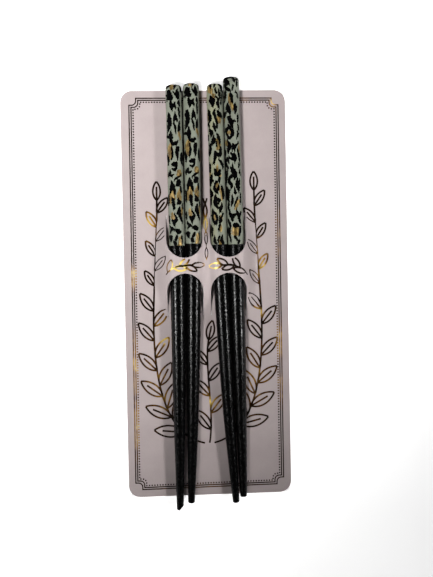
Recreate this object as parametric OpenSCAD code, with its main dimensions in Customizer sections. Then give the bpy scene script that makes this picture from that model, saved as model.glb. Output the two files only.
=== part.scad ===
// Two pairs of round, tapering hair sticks held on a slotted display card.
// The card lies on its back: X to the right, Y towards the card's top, Z up through the sticks.

/* [Card] */
// Width of the card
card_w = 70; // [66:1:80]
// Height of the card
card_h = 173; // [165:1:185]
// Thickness of the card
card_t = 0.5; // [0.4:0.1:0.8]
// Radius of the card's corners
card_corner_r = 5; // [2:0.5:8]

/* [Slits] */
// Distance of each pair's slits from the card's centre line
pair_x = 9.2; // [8.8:0.1:10]
// Half the width of a tongue with its slit
slit_half = 7.6; // [7.5:0.1:8]
// Width of the cut round a tongue
slit_cut = 0.35; // [0.25:0.05:0.5]
// Straight length of a slit's leg
slit_leg = 10.5; // [9:0.5:14]
// Height of the bridges' middle above the card's middle
bridge_y = 12.4; // [10:0.1:13]
// Narrowest height of a bridge, between its two slits
bridge_h = 6.6; // [5:0.1:8]

/* [Bridges] */
// Half the width of a bridge's flat top
shoulder = 4.4; // [4.2:0.1:4.6]
// Sideways distance in which a bridge comes down to the card
fall = 8.6; // [8.4:0.1:10]
// Extra length of a bridge's full height beyond its narrowest part, at each end
crest = 5; // [4.8:0.1:6]
// Gap between a bridge and the sticks under it
bridge_gap = 0.25; // [0.2:0.05:0.4]

/* [Sticks] */
// Diameter of a stick's straight upper part
shaft_d = 6.4; // [5.8:0.1:6.4]
// Diameter of a stick's tip
tip_d = 2.9; // [2:0.1:3]
// Distance from a stick's top to the start of its taper
taper_start = 70; // [60:1:70]
// Rounding of a shaft's top edge
top_round = 1; // [0.6:0.1:1.4]
// Rounding of a tip's edge
tip_round = 0.6; // [0.3:0.1:0.9]
// Gap between the sticks and the card under them
rest_gap = 0.05; // [0.02:0.01:0.1]
// Length of the slanted cut on the first stick's tip
slant_l = 2; // [1:0.1:2.5]

/* [Printed film] */
// Thickness of the printed film
film_t = 0.15; // [0.1:0.01:0.15]
// Gap between the film and its shaft
film_gap = 0.04; // [0.02:0.01:0.05]

/* [Hidden] */
$fn = 96;
eps = 0.01;

// Each row is a stick, left to right. It gives the side of the card its pair is on, then the X of
// its axis at the top, under the bridge, at the low station and at the tip, measured from the
// middle of its pair's slits, then the Y of the shaft's top, of the film's lower edge and of the
// tip, measured from the card's middle.
STICKS = [
    // side, top_x, bridge_x, low_x, tip_x, top_y, film_y, tip_y
    [-1, -3.20, -3.00, -3.55, -4.05, 87.5, 20.8, -91.5],
    [-1, 4.05, 3.85, 2.15, 0.75, 88.0, 21.6, -88.6],
    [1, -4.45, -3.50, -0.90, 1.50, 87.8, 21.0, -89.1],
    [1, 2.50, 3.40, 4.24, 4.70, 90.6, 21.0, -86.7]
];
SIDE = 0;
TOP_X = 1;
BRIDGE_X = 2;
LOW_X = 3;
TIP_X = 4;
TOP_Y = 5;
FILM_Y = 6;
TIP_Y = 7;

// Y of the low station, where the sticks' slight bow is taken up
low_y = -53;
// How far a stretch of a shaft reaches into the one above it, and how much slimmer it is there
lap = 0.5;
lap_step = 0.03;
// Number of cone steps in a stretch, and of steps round a rounded edge
cone_steps = 6;
edge_steps = 5;
// Grid cells across and along the raised part of the card
cells_x = 36;
cells_y = 22;

shaft_r = shaft_d / 2;
tip_r = tip_d / 2;
film_in_r = shaft_r + film_gap;
film_out_r = film_in_r + film_t;
axis_z = card_t + film_out_r + rest_gap;
lift = axis_z + shaft_r + bridge_gap;
raised_x = pair_x + shoulder + fall;
raised_y = bridge_h / 2 + slit_half + slit_leg;

// The origin's Y is midway between the highest top and the lowest tip
highest_top = max([for (s = STICKS) s[TOP_Y]]) + film_gap + film_t;
lowest_tip = min([for (s = STICKS) s[TIP_Y]]);
middle_y = (highest_top + lowest_tip) / 2;

// A smooth fall from 1 to 0 as t goes from 0 to 1
function smooth_fall(t) = (1 + cos(180 * min(max(t, 0), 1))) / 2;

// How far a bridge is raised, from 0 to 1, at x across the card and y from the bridges' middle
function across(x, side) = smooth_fall((abs(x - side * pair_x) - shoulder) / fall);
function along(y) =
    smooth_fall((abs(y) - bridge_h / 2 - crest) / (raised_y - bridge_h / 2 - crest));
function raised(x, y) = along(y) * (1 - (1 - across(x, -1)) * (1 - across(x, 1)));

// The radius of a shaft of length l at distance d from its top: straight, then a parabola to the tip
function shaft_radius(d, l) =
    tip_r + (shaft_r - tip_r) * (1 - pow(max(d - taper_start, 0) / (l - taper_start), 2));

// Points of a rounded edge: an arc of radius r about [x, y], from the first angle to the last
function round_edge(x, y, r, first, last) =
    [for (i = [0 : edge_steps]) let (a = first + (last - first) * i / edge_steps)
        [x + r * cos(a), y + r * sin(a)]];

// The stations of a stick's axis, from its top to its tip
function stations(s) = [
    [s[TOP_X], s[TOP_Y]],
    [s[BRIDGE_X], bridge_y],
    [s[LOW_X], low_y],
    [s[TIP_X], s[TIP_Y]]
];

// Length of a stick's axis as far as station k
function axis_length(s, k) =
    k == 0 ? 0 : axis_length(s, k - 1) + norm(stations(s)[k] - stations(s)[k - 1]);

// Puts children on a stick's axis, with +Z from station k towards station k + 1
module on_axis(s, k) {
    from = stations(s)[k];
    to = stations(s)[k + 1];
    translate([s[SIDE] * pair_x + from[0], from[1] - middle_y, axis_z])
        rotate([90, 0, atan2(to[0] - from[0], from[1] - to[1])])
            children();
}

// Points down the side of a shaft's stretch, from just below start as far as end
function side_points(start, end, total, steps) =
    [for (i = [1 : steps]) let (d = start + (end - start) * i / cone_steps)
        [shaft_radius(d, total), d - start]];

// The start of a lower stretch: a lap inside the one above, slimmer by a step
function lap_points(start, total) =
    let (r = shaft_radius(start, total) - lap_step)
    [[0, -lap], [r, -lap], [r, 0]];

// The top stretch of a shaft, straight and with a rounded top edge
module top_stretch(s, total) {
    end = axis_length(s, 1);
    rotate_extrude()
        polygon(concat([[0, 0]], round_edge(shaft_r - top_round, top_round, top_round, -90, 0),
            side_points(0, end, total, cone_steps), [[0, end]]));
}

// The middle stretch of a shaft, from under the bridge to the low station
module middle_stretch(s, total) {
    start = axis_length(s, 1);
    end = axis_length(s, 2);
    rotate_extrude()
        polygon(concat(lap_points(start, total), side_points(start, end, total, cone_steps),
            [[0, end - start]]));
}

// The last stretch of a shaft, from the low station to the rounded tip
module tip_stretch(s, total) {
    start = axis_length(s, 2);
    end = total - tip_round;
    rotate_extrude()
        polygon(concat(lap_points(start, total), side_points(start, end, total, cone_steps - 1),
            round_edge(shaft_radius(end, total) - tip_round, end - start, tip_round, 0, 90),
            [[0, total - start]]));
}

// A tapering shaft in three straight stretches that follow its slight bow. The first stick's tip
// is cut off at a slant, on its inner side.
module shaft(i) {
    s = STICKS[i];
    total = axis_length(s, 3);
    color([0.03, 0.03, 0.03])
        difference() {
            union() {
                on_axis(s, 0) top_stretch(s, total);
                on_axis(s, 1) middle_stretch(s, total);
                on_axis(s, 2) tip_stretch(s, total);
            }
            if (i == 0)
                on_axis(s, 2)
                    translate([tip_r, 0, total - axis_length(s, 2) - slant_l])
                        rotate([0, -45, 0])
                            translate([0, -tip_d, -2 * slant_l])
                                cube([2 * tip_d, 2 * tip_d, 6 * slant_l]);
        }
}

// A thin printed film, drawn over a stick's upper part like a cap. Its rounded edges have the
// same centre as the shaft's.
module film(i) {
    s = STICKS[i];
    film_l = s[TOP_Y] - s[FILM_Y];
    edge_x = shaft_r - top_round;
    outer = round_edge(edge_x, top_round, film_out_r - edge_x, -90, 0);
    inner = round_edge(edge_x, top_round, film_in_r - edge_x, 0, -90);
    color([0.57, 0.61, 0.55])
        on_axis(s, 0)
            rotate_extrude()
                polygon(concat(
                    [[0, -film_gap - film_t]], outer,
                    [[film_out_r, film_l], [film_in_r, film_l]], inner,
                    [[0, -film_gap]]));
}

// The outline of a tongue, with its cut where the margin is 0: straight legs from the root and a
// round free end, drawn in by the margin all round, and reaching past its root by root_lap
module tongue_outline(margin, root_lap) {
    r = slit_half - margin;
    translate([0, bridge_h / 2 + slit_half])
        circle(r = r);
    translate([-r, bridge_h / 2 + slit_half])
        square([2 * r, slit_leg + root_lap]);
}

// Children at the four tongues: above and below the bridge of each pair
module at_tongues() {
    for (side = [-1, 1], flip = [0, 1])
        translate([side * pair_x, bridge_y - middle_y, 0])
            mirror([0, flip, 0])
                children();
}

// The card's outline, as a sheet of thickness t
module card_blank(t) {
    inner_w = card_w - 2 * card_corner_r;
    inner_h = card_h - 2 * card_corner_r;
    linear_extrude(t)
        translate([0, -middle_y]) {
            square([card_w, inner_h], center = true);
            square([inner_w, card_h], center = true);
            for (sx = [-1, 1], sy = [-1, 1])
                translate([sx * inner_w / 2, sy * inner_h / 2])
                    circle(r = card_corner_r);
        }
}

// The raised part of the card: a grid of points on its underside and its face
module raised_sheet() {
    nx = cells_x + 1;
    ny = cells_y + 1;
    function at(i, j, z) =
        let (x = raised_x * (2 * i / cells_x - 1), y = raised_y * (2 * j / cells_y - 1))
        [x, y + bridge_y - middle_y, z + lift * raised(x, y)];
    function id(i, j, face) = (face * ny + j) * nx + i;
    points = [for (face = [0, 1], j = [0 : cells_y], i = [0 : cells_x]) at(i, j, face * card_t)];
    face_up = [for (j = [0 : cells_y - 1], i = [0 : cells_x - 1], half = [0, 1])
        half == 0
            ? [id(i, j, 1), id(i, j + 1, 1), id(i + 1, j + 1, 1)]
            : [id(i, j, 1), id(i + 1, j + 1, 1), id(i + 1, j, 1)]];
    face_down = [for (j = [0 : cells_y - 1], i = [0 : cells_x - 1], half = [0, 1])
        half == 0
            ? [id(i, j, 0), id(i + 1, j + 1, 0), id(i, j + 1, 0)]
            : [id(i, j, 0), id(i + 1, j, 0), id(i + 1, j + 1, 0)]];
    ends = [for (i = [0 : cells_x - 1], j = [0, cells_y])
        j == 0
            ? [id(i, j, 0), id(i, j, 1), id(i + 1, j, 1), id(i + 1, j, 0)]
            : [id(i, j, 0), id(i + 1, j, 0), id(i + 1, j, 1), id(i, j, 1)]];
    sides = [for (j = [0 : cells_y - 1], i = [0, cells_x])
        i == 0
            ? [id(i, j, 0), id(i, j + 1, 0), id(i, j + 1, 1), id(i, j, 1)]
            : [id(i, j, 0), id(i, j, 1), id(i, j + 1, 1), id(i, j + 1, 0)]];
    polyhedron(points, concat(face_up, face_down, ends, sides));
}

// The card: a flat sheet with two arched bridges, and four flat tongues under the sticks
module card() {
    color([0.80, 0.74, 0.74])
        union() {
            difference() {
                union() {
                    difference() {
                        card_blank(card_t);
                        translate([-raised_x, bridge_y - middle_y - raised_y, -eps])
                            cube([2 * raised_x, 2 * raised_y, card_t + 2 * eps]);
                    }
                    raised_sheet();
                }
                at_tongues()
                    translate([0, 0, -eps])
                        linear_extrude(lift + card_t + 2 * eps)
                            tongue_outline(0, 0);
            }
            at_tongues()
                linear_extrude(card_t)
                    tongue_outline(slit_cut, eps);
        }
}

card();
shaft(0);  // shaft_1
shaft(1);  // shaft_2
shaft(2);  // shaft_3
shaft(3);  // shaft_4
film(0);  // film_1
film(1);  // film_2
film(2);  // film_3
film(3);  // film_4
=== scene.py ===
"""The looks of a display card that holds two pairs of printed hair sticks."""
import math
import random
from bisect import bisect_left
from collections import namedtuple

import bmesh
import bpy
from mathutils import Euler, Matrix, Vector
from mathutils.geometry import delaunay_2d_cdt


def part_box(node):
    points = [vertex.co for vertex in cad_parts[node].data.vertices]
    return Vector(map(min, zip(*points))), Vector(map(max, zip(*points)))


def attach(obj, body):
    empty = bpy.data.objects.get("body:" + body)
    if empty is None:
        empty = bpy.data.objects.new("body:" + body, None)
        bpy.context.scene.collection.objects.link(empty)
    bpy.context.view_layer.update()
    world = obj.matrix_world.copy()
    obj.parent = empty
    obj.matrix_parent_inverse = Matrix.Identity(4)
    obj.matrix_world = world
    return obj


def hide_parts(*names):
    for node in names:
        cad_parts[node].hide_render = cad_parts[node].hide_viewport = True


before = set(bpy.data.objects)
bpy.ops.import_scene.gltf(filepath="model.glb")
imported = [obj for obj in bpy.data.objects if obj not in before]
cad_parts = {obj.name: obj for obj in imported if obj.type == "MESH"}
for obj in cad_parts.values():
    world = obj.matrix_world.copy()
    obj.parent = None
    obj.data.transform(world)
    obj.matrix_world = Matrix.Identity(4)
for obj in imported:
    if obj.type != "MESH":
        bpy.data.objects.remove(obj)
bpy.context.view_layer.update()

# Shapes are in millimetres in the card's own plane: X and Y from the card's middle, Z from its
# back. to_frame turns them into the frame's metres.
MM = 0.001
card_lo, card_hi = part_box("card")
CARD_W = (card_hi.x - card_lo.x) / MM
CARD_H = (card_hi.y - card_lo.y) / MM
CARD_Y = (card_hi.y + card_lo.y) / 2 / MM
CARD_T = 0.5
CARD_CORNER_R = 5
LIFT = card_hi.z / MM - CARD_T

# Slits and bridges
PAIR_X = 9.2
SLIT_HALF = 7.6
SLIT_CUT = 0.35
SLIT_LEG = 10.5
BRIDGE_Y = 12.4
BRIDGE_H = 6.6
SHOULDER = 4.4
FALL = 8.6
CREST = 5
RAISED_X = PAIR_X + SHOULDER + FALL
RAISED_Y = BRIDGE_H / 2 + SLIT_HALF + SLIT_LEG

# Sticks and their printed film
SHAFT_R = 3.2
TIP_R = 1.45
TAPER_START = 70
TOP_ROUND = 1
TIP_ROUND = 0.6
EDGE_R = SHAFT_R - TOP_ROUND
REST_GAP = 0.05
SLANT_L = 2
FILM_IN_R = SHAFT_R + 0.04
FILM_OUT_R = FILM_IN_R + 0.15
FILM_ARC = FILM_OUT_R - EDGE_R
AXIS_Z = CARD_T + FILM_OUT_R + REST_GAP
LOW_Y = -53
EASE = 16

# Each stick, left to right: the side that its pair is on, X of its axis from the pair's middle at
# the top, under the bridge, at LOW_Y and at the tip, then Y of its top, its film's edge and its tip
Stick = namedtuple("Stick", "side top_x bridge_x low_x tip_x top_y film_y tip_y")
STICKS = [
    Stick(-1, -3.20, -3.00, -3.55, -4.05, 87.5, 20.8, -91.5),
    Stick(-1, 4.05, 3.85, 2.15, 0.75, 88.0, 21.6, -88.6),
    Stick(1, -4.45, -3.50, -0.90, 1.50, 87.8, 21.0, -89.1),
    Stick(1, 2.50, 3.40, 4.24, 4.70, 90.6, 21.0, -86.7),
]

# Camera, which stands where the photograph was taken from
CAMERA_AT = (-11.78, 11.50, 299.59)
CAMERA_TURN = Euler((-0.02938, -0.05393, -0.01946), "XYZ")
FOCAL_PX = 700
PHOTO_W = 433
PHOTO_H = 577
# A pixel is taken to be on a film up to this share of its radius from its axis
LIMB = 0.996
RAY_ROUNDS = 6

# The card's corners, in turn, by the signs of their X and Y
QUARTERS = [(1, 1), (-1, 1), (-1, -1), (1, -1)]


def to_frame(x, y, z):
    """A point in the frame's metres."""
    return Vector((x * MM, (y + CARD_Y) * MM, z * MM))


# Lines and curves

def smooth_fall(t):
    """Falls smoothly from 1 to 0 as t goes from 0 to 1."""
    return (1 + math.cos(math.pi * min(max(t, 0), 1))) / 2


def lerp(a, b, t):
    return a + (b - a) * t


def pairs(items, closed=True):
    """Each item with the next, and the last with the first if closed."""
    return zip(items, items[1:] + items[:1]) if closed else zip(items, items[1:])


def off(place, way, along, across):
    """The place reached by going along a way, then across it to its left."""
    return (place[0] + way[0] * along - way[1] * across,
            place[1] + way[1] * along + way[0] * across)


def stretch(a, b, step):
    """Points about step apart, from a up to b but without b."""
    count = max(1, round(math.dist(a, b) / step))
    return [(lerp(a[0], b[0], i / count), lerp(a[1], b[1], i / count)) for i in range(count)]


def arc(middle, radius, start, end, steps):
    """Points on a round arc whose start and end are in quarter turns."""
    angles = [math.pi / 2 * lerp(start, end, i / steps) for i in range(steps + 1)]
    return [(middle[0] + radius * math.cos(a), middle[1] + radius * math.sin(a)) for a in angles]


def bezier(ends, count):
    """count + 1 points on the cubic curve of four points."""
    points = []
    for i in range(count + 1):
        t = i / count
        shares = ((1 - t) ** 3, 3 * t * (1 - t) ** 2, 3 * t * t * (1 - t), t ** 3)
        points.append(tuple(sum(share * p[k] for share, p in zip(shares, ends)) for k in (0, 1)))
    return points


def spline(stations, step):
    """Points of any size on a smooth curve through the stations, about step apart."""
    ends = [stations[0], *stations, stations[-1]]
    points = []
    for k in range(len(stations) - 1):
        p0, p1, p2, p3 = ends[k:k + 4]
        count = max(1, round(math.dist(p1[:2], p2[:2]) / step))
        for i in range(count):
            t = i / count
            points.append(tuple(
                0.5 * (2 * b + (c - a) * t + (2 * a - 5 * b + 4 * c - d) * t * t
                       + (3 * b - a - 3 * c + d) * t ** 3)
                for a, b, c, d in zip(p0, p1, p2, p3)))
    return points + [tuple(stations[-1])]


def evenly(points, pitch, closed=False):
    """Points about pitch apart along a line."""
    sides = list(pairs(points, closed))
    lengths = [math.dist(a, b) for a, b in sides]
    total = sum(lengths)
    count = max(1, round(total / pitch))
    out = []
    k = passed = 0
    for i in range(count if closed else count + 1):
        want = total * i / count
        while k < len(sides) - 1 and passed + lengths[k] < want:
            passed += lengths[k]
            k += 1
        (x0, y0), (x1, y1) = sides[k]
        t = (want - passed) / lengths[k]
        out.append((lerp(x0, x1, t), lerp(y0, y1, t)))
    return out


def winding(outline, x, y):
    """How often the outline goes round the point."""
    turns = 0
    for (x0, y0), (x1, y1) in pairs(outline):
        side = (x1 - x0) * (y - y0) - (x - x0) * (y1 - y0)
        if y0 <= y < y1 and side > 0:
            turns += 1
        elif y1 <= y < y0 and side < 0:
            turns -= 1
    return turns


# The sheet of the card

def raised(x, y):
    """How far the sheet is raised over the sticks, from 0 to 1."""
    flat_half = BRIDGE_H / 2 + CREST
    along = smooth_fall((abs(y - BRIDGE_Y) - flat_half) / (RAISED_Y - flat_half))
    low = 1
    for side in (-1, 1):
        low *= 1 - smooth_fall((abs(x - side * PAIR_X) - SHOULDER) / FALL)
    return along * (1 - low)


def slit_distance(x, y):
    """Distance outside the nearest tongue's slit, negative on a tongue."""
    out = abs(abs(x) - PAIR_X)
    down = abs(y - BRIDGE_Y) - BRIDGE_H / 2 - SLIT_HALF
    if down > SLIT_LEG:
        return math.hypot(out - SLIT_HALF, down - SLIT_LEG)
    if down > 0:
        return out - SLIT_HALF
    return math.hypot(out, down) - SLIT_HALF


def sheet_z(x, y):
    """Height of the sheet's back. The tongues stay flat."""
    return 0 if slit_distance(x, y) < -SLIT_CUT / 2 else LIFT * raised(x, y)


def face_z(x, y):
    return sheet_z(x, y) + CARD_T


# The sticks' axes

def axis_x(stick, y):
    """X of a stick's axis: straight from station to station, each bend eased over EASE."""
    xs = [stick.side * PAIR_X + x for x in (stick.top_x, stick.bridge_x, stick.low_x, stick.tip_x)]
    stations = list(zip(xs, (stick.top_y, BRIDGE_Y, LOW_Y, stick.tip_y)))
    slopes = [(x1 - x0) / (y1 - y0) for (x0, y0), (x1, y1) in pairs(stations, False)]
    x = xs[0] + slopes[0] * (y - stick.top_y)
    for (_, bend_y), above, below in zip(stations[1:], slopes, slopes[1:]):
        past = bend_y - y
        eased = max(past, 0) if abs(past) > EASE else (past + EASE) ** 2 / (4 * EASE)
        x -= (below - above) * eased
    return x


def on_stick(stick, y, angle, radius):
    """A point round a stick's axis, in the frame's metres. The angle is from the stick's top side
    towards the right."""
    slope = axis_x(stick, y + 0.5) - axis_x(stick, y - 0.5)
    length = math.hypot(slope, 1)
    out = radius * math.sin(angle)
    return to_frame(axis_x(stick, y) + out / length, y - out * slope / length,
                    AXIS_Z + radius * math.cos(angle))


def wall_top(stick):
    """Y where a stick's straight wall ends and its rounded top edge starts."""
    return stick.top_y - TOP_ROUND


def shaft_radius(stick, y):
    """Radius of a shaft at y: straight, then a parabola to the tip."""
    down = max(stick.top_y - y - TAPER_START, 0) / (stick.top_y - stick.tip_y - TAPER_START)
    return TIP_R + (SHAFT_R - TIP_R) * (1 - down ** 2)


def photo_on_film(stick, px, py):
    """The place on a stick's unrolled film at a pixel of the photograph."""
    ray = Vector(((px - PHOTO_W / 2) / FOCAL_PX, (PHOTO_H / 2 - py) / FOCAL_PX, -1))
    ray.rotate(CAMERA_TURN)
    z = AXIS_Z + FILM_OUT_R
    for _ in range(RAY_ROUNDS):
        t = (z - CAMERA_AT[2]) / ray.z
        x = CAMERA_AT[0] + t * ray.x
        y = CAMERA_AT[1] + t * ray.y
        across = min(max((x - axis_x(stick, y)) / FILM_OUT_R, -LIMB), LIMB)
        z = AXIS_Z + FILM_OUT_R * math.sqrt(1 - across * across)
    return math.asin(across) * FILM_OUT_R, wall_top(stick) - y


# Meshes

def make_object(name, bm, materials, smooth=True):
    """An object from a bmesh, which is freed."""
    bmesh.ops.recalc_face_normals(bm, faces=bm.faces)
    for face in bm.faces:
        face.smooth = smooth
    mesh = bpy.data.meshes.new(name)
    bm.to_mesh(mesh)
    bm.free()
    for material in materials:
        mesh.materials.append(material)
    made = bpy.data.objects.new(name, mesh)
    bpy.context.scene.collection.objects.link(made)
    return made


def make_piece(name, bm, materials, slot, *nodes, smooth=True):
    """A piece fixed to the part's body, with its finish and the nodes that it stands for."""
    piece = make_object(name, bm, materials, smooth)
    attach(piece, "root")
    if nodes:
        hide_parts(*nodes)


def skin(bm, rings, closed=False):
    """Faces between each ring of vertices and the next."""
    for ring, after in pairs(rings, closed):
        for (a, b), (c, d) in zip(pairs(ring), pairs(after)):
            bm.faces.new((a, b, d, c))


def tube(bm, rings, closed=False):
    """A closed skin, or one with flat ends."""
    skin(bm, rings, closed)
    if not closed:
        bm.faces.new(rings[0])
        bm.faces.new(rings[-1][::-1])


def fan(bm, sides, middle):
    """Triangles from pairs of vertices to a point in their middle."""
    point = bm.verts.new(middle)
    for a, b in sides:
        bm.faces.new((a, b, point))


def add_outline(points, edges, outline):
    """Adds a closed outline's points, and its sides as pairs of their numbers."""
    edges += pairs(list(range(len(points), len(points) + len(outline))))
    points += outline


def triangles_over(points, edges, nearest):
    """Triangles over flat points that keep the edges. Points closer than nearest become one."""
    flat, _, triangles, *_ = delaunay_2d_cdt([Vector(p) for p in points], edges, [], 0, nearest)
    return flat, triangles


def drop_loose(bm):
    """Deletes vertices without faces."""
    bmesh.ops.delete(bm, geom=[v for v in bm.verts if not v.link_faces], context="VERTS")


# The card

GRID_RAISED = 0.6
GRID_FLAT = 6
# Room between the grids and the slits, and between the two grids
SLIT_ROOM = 0.25
GRID_ROOM = 1
GRID_SHIFT = 2
ARC_STEPS = 12
CARD_NEAREST = 1e-4
CORNER_X = CARD_W / 2 - CARD_CORNER_R
CORNER_Y = CARD_H / 2 - CARD_CORNER_R


def card_outline():
    """The card's outline, with round corners and points along its sides."""
    corners = [arc((sx * CORNER_X, sy * CORNER_Y), CARD_CORNER_R, k, k + 1, ARC_STEPS)
               for k, (sx, sy) in enumerate(QUARTERS)]
    points = []
    for corner, after in pairs(corners):
        points += corner + stretch(corner[-1], after[0], GRID_FLAT)[1:]
    return points


def tongue_path(margin):
    """One side of a slit, as it runs round a tongue: down a leg, round the end and back up."""
    r = SLIT_HALF - margin
    leg = stretch((-r, SLIT_LEG), (-r, 0), GRID_RAISED)
    end = arc((0, 0), r, 2, 4, round(math.pi * r / GRID_RAISED))
    return leg + end + [(-x, y) for x, y in reversed(leg)]


def slit_outlines():
    """The four slits, each a closed outline between the sheet and its tongue."""
    loop = tongue_path(0) + tongue_path(SLIT_CUT)[::-1]
    return [[(side * PAIR_X + x, BRIDGE_Y + flip * (BRIDGE_H / 2 + SLIT_HALF + y)) for x, y in loop]
            for side in (-1, 1) for flip in (1, -1)]


def card_grid():
    """Points over the card: close together where it is raised, and wide apart where it is flat."""
    points = []
    nx = round(2 * RAISED_X / GRID_RAISED)
    ny = round(2 * RAISED_Y / GRID_RAISED)
    for j in range(1, ny):
        for i in range(nx + 1):
            x = RAISED_X * (2 * i / nx - 1)
            y = BRIDGE_Y + RAISED_Y * (2 * j / ny - 1)
            if not -SLIT_CUT - SLIT_ROOM < slit_distance(x, y) < SLIT_ROOM:
                points.append((x, y))
    for j in range(int(CARD_H / GRID_FLAT)):
        for i in range(int(CARD_W / GRID_FLAT)):
            x = GRID_FLAT * (i + 0.5) - CARD_W / 2 + GRID_SHIFT
            y = GRID_FLAT * (j + 0.5) - CARD_H / 2 + GRID_SHIFT
            if abs(x) > RAISED_X + GRID_ROOM or abs(y - BRIDGE_Y) > RAISED_Y + GRID_ROOM:
                points.append((x, y))
    return points


def card_sheet():
    """The slit card: one sheet, raised in two bridges over the sticks."""
    points = []
    edges = []
    slits = slit_outlines()
    for outline in [card_outline()] + slits:
        add_outline(points, edges, outline)
    flat, triangles = triangles_over(points + card_grid(), edges, CARD_NEAREST)

    bm = bmesh.new()
    back = [bm.verts.new(to_frame(p.x, p.y, sheet_z(p.x, p.y))) for p in flat]
    face = [bm.verts.new(to_frame(p.x, p.y, face_z(p.x, p.y))) for p in flat]
    rims = {}
    for a, b, c in triangles:
        x = (flat[a].x + flat[b].x + flat[c].x) / 3
        y = (flat[a].y + flat[b].y + flat[c].y) / 3
        corner = math.hypot(max(abs(x) - CORNER_X, 0), max(abs(y) - CORNER_Y, 0))
        if corner > CARD_CORNER_R or any(winding(slit, x, y) for slit in slits):
            continue
        bm.faces.new((face[a], face[b], face[c]))
        bm.faces.new((back[c], back[b], back[a]))
        for edge in ((a, b), (b, c), (c, a)):
            key = tuple(sorted(edge))
            rims[key] = None if key in rims else edge
    for a, b in filter(None, rims.values()):
        bm.faces.new((face[b], face[a], back[a], back[b])).material_index = 1
        for side in (face, back):
            bm.edges.get((side[a], side[b])).smooth = False
    drop_loose(bm)
    make_piece("card_sheet", bm, [card_face_material(), card_edge_material()], "card", "card")


# The print on the card

INK_UP = 0.02
INK_DOWN = 0.01
BORDER_LINE_W = 0.5
BORDER_STEP = 4
DRAWN_LINE_W = 0.78
BORDER_INSET = 3.1
SECOND_INSET = 3.97
DOTS_INSET = 4.80
NOTCH = 2.9
NOTCH_STEP = 1.1
NOTCH_ARC_STEPS = 6
# The border is printed a little out of square: how far its corners, in the order of QUARTERS, are
# from where they should be
PRINT_OFFSETS = [(0.05, -0.25), (0.55, 0), (-0.15, 0.1), (-0.15, 0.55)]
DOT_PITCH = 1.15
DOT_R = 0.36
DOT_SIDES = 8
STROKE_STEP = 0.5
STROKE_ROOM = 0.15
SHORTEST_STROKE = 2
# A ribbon's corner is at most this many times as wide as the ribbon
WIDEST_BEND = 2

# Painted glints: places where the foil's colour is painted gold as if it caught the light: the middle, the
# reach across and along, and how much
GLINTS = [
    # x, y, reach_x, reach_y, amount
    (-31, 8, 4, 9, 0.85),
    (-31, -30, 4, 26, 0.65),
    (-31, -56, 4, 24, 0.70),
    (31, 25, 4, 22, 0.42),
    (31, -20, 4, 20, 0.70),
    (31, -40, 4, 16, 0.50),
    (0, -84, 34, 5, 0.38),
    (9, 83, 18, 4, 0.55),
    (30, 81, 3.5, 4.5, 0.85),
    (-12, 12, 8, 6, 1.4),
    (2, 12, 6, 7, 1.4),
    (0, 30, 3, 8, 0.9),
    (-19, -16, 6, 14, 0.9),
    (-19, -44, 5, 12, 0.6),
    (1, -46, 7, 10, 0.75),
    (-22, -34, 12, 32, 0.4),
    (20, -36, 14, 30, 0.4),
    (22, -8, 5, 6, 0.75),
    (24, 12, 6, 20, 0.7),
    (-24, 30, 6, 14, 0.7),
]


def painted_glint_amount(x, y):
    """How much painted glint tints the foil gold at a place, from 0 to 1."""
    return max(most * smooth_fall(math.hypot((x - gx) / reach_x, (y - gy) / reach_y))
               for gx, gy, reach_x, reach_y, most in GLINTS)


def ink_point(bm, glint, place, z, gold):
    """A vertex of the print that carries an amount of painted glint, which tints the foil gold."""
    vert = bm.verts.new(to_frame(*place, z))
    vert[glint] = gold
    return vert


def add_ribbon(bm, glint, points, width, closed=False):
    """A thin printed line on the card's face, through the points."""
    rings = []
    last = len(points) - 1
    for k, here in enumerate(points):
        before = points[k - 1] if closed or k else here
        after = points[(k + 1) % len(points)] if closed or k < last else here
        way_in = Vector((here[0] - before[0], here[1] - before[1])).normalized()
        way_out = Vector((after[0] - here[0], after[1] - here[1])).normalized()
        along = (way_in + way_out).normalized()
        turn = along.dot(way_in if closed or k else way_out)
        half = width / 2 / max(turn, 1 / WIDEST_BEND)
        z = face_z(*here)
        ring = []
        for side, up in ((1, INK_UP), (-1, INK_UP), (-1, -INK_DOWN), (1, -INK_DOWN)):
            place = off(here, along, 0, side * half)
            ring.append(ink_point(bm, glint, place, z + up, painted_glint_amount(*place)))
        rings.append(ring)
    tube(bm, rings, closed)


def add_dot(bm, glint, x, y):
    """A printed dot, with the same painted glint all over."""
    z = face_z(x, y)
    gold = painted_glint_amount(x, y)
    rim = arc((x, y), DOT_R, 0, 4, DOT_SIDES)[:-1]
    tube(bm, [[ink_point(bm, glint, place, z + up, gold) for place in rim]
              for up in (INK_UP, -INK_DOWN)])


def notched_frame(inset):
    """A closed line inside the card's edge, with a stepped, hollow notch at each corner."""
    hollow = arc((NOTCH_STEP, NOTCH_STEP), NOTCH - NOTCH_STEP, 1, 0, NOTCH_ARC_STEPS)
    notch = [(0, NOTCH), *hollow, (NOTCH, 0)]
    points = []
    for (sx, sy), (off_x, off_y) in zip(QUARTERS, PRINT_OFFSETS):
        points += [(sx * (CARD_W / 2 - inset - a) + off_x, sy * (CARD_H / 2 - inset - b) + off_y)
                   for a, b in (notch if sx == sy else notch[::-1])]
    return points


def add_stroke(bm, glint, points, width):
    """A drawn line, left out inside the slits. Short ends are dropped."""
    run = []
    for point in evenly(points, STROKE_STEP) + [None]:
        if point and slit_distance(*point) > width / 2 + STROKE_ROOM:
            run.append(point)
            continue
        if len(run) * STROKE_STEP > SHORTEST_STROKE:
            add_ribbon(bm, glint, run, width)
        run = []


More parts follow.
